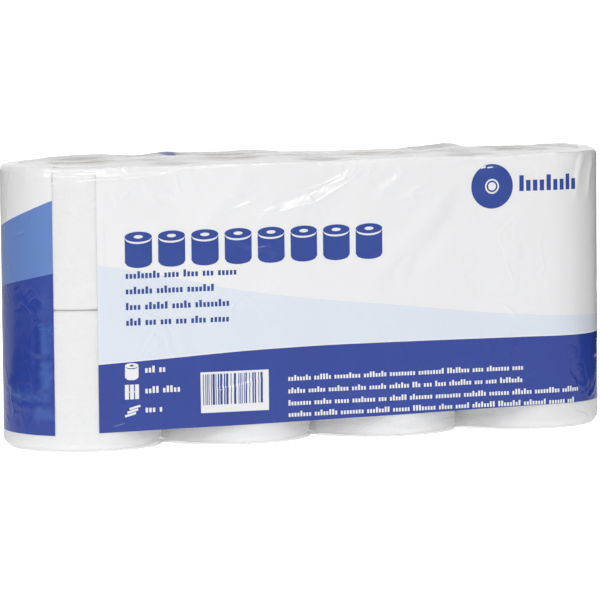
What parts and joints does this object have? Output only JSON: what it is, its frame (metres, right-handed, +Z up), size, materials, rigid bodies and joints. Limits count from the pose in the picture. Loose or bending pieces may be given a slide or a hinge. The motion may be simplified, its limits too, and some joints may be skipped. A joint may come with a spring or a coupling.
{
  "type": "toilet paper roll pack",
  "caption": "Sealed clear film pack of wound toilet tissue rolls on card tubes, stacked upright in two layers in one row, with round ends and folded top and bottom",
  "frame": {"origin": "on the ground under the middle of the pack", "axes": "+Z up along the rolls' axes, +X along the row, +Y across the pack, with the printed front facing -Y"},
  "size_m": [0.4342, 0.1092, 0.1943],
  "materials": {
    "film": "clear glossy polyethylene film, printed",
    "tissue": "soft white creped tissue",
    "card": "grey-brown spiral wound card"
  },
  "bodies": {
    "root": {"film_wrap": "film", "roll_lower_1": "tissue", "roll_lower_2": "tissue", "roll_lower_3": "tissue", "roll_lower_4": "tissue", "roll_upper_1": "tissue", "roll_upper_2": "tissue", "roll_upper_3": "tissue", "roll_upper_4": "tissue", "core_lower_1": "card", "core_lower_2": "card", "core_lower_3": "card", "core_lower_4": "card", "core_upper_1": "card", "core_upper_2": "card", "core_upper_3": "card", "core_upper_4": "card"}
  },
  "joints": []
}
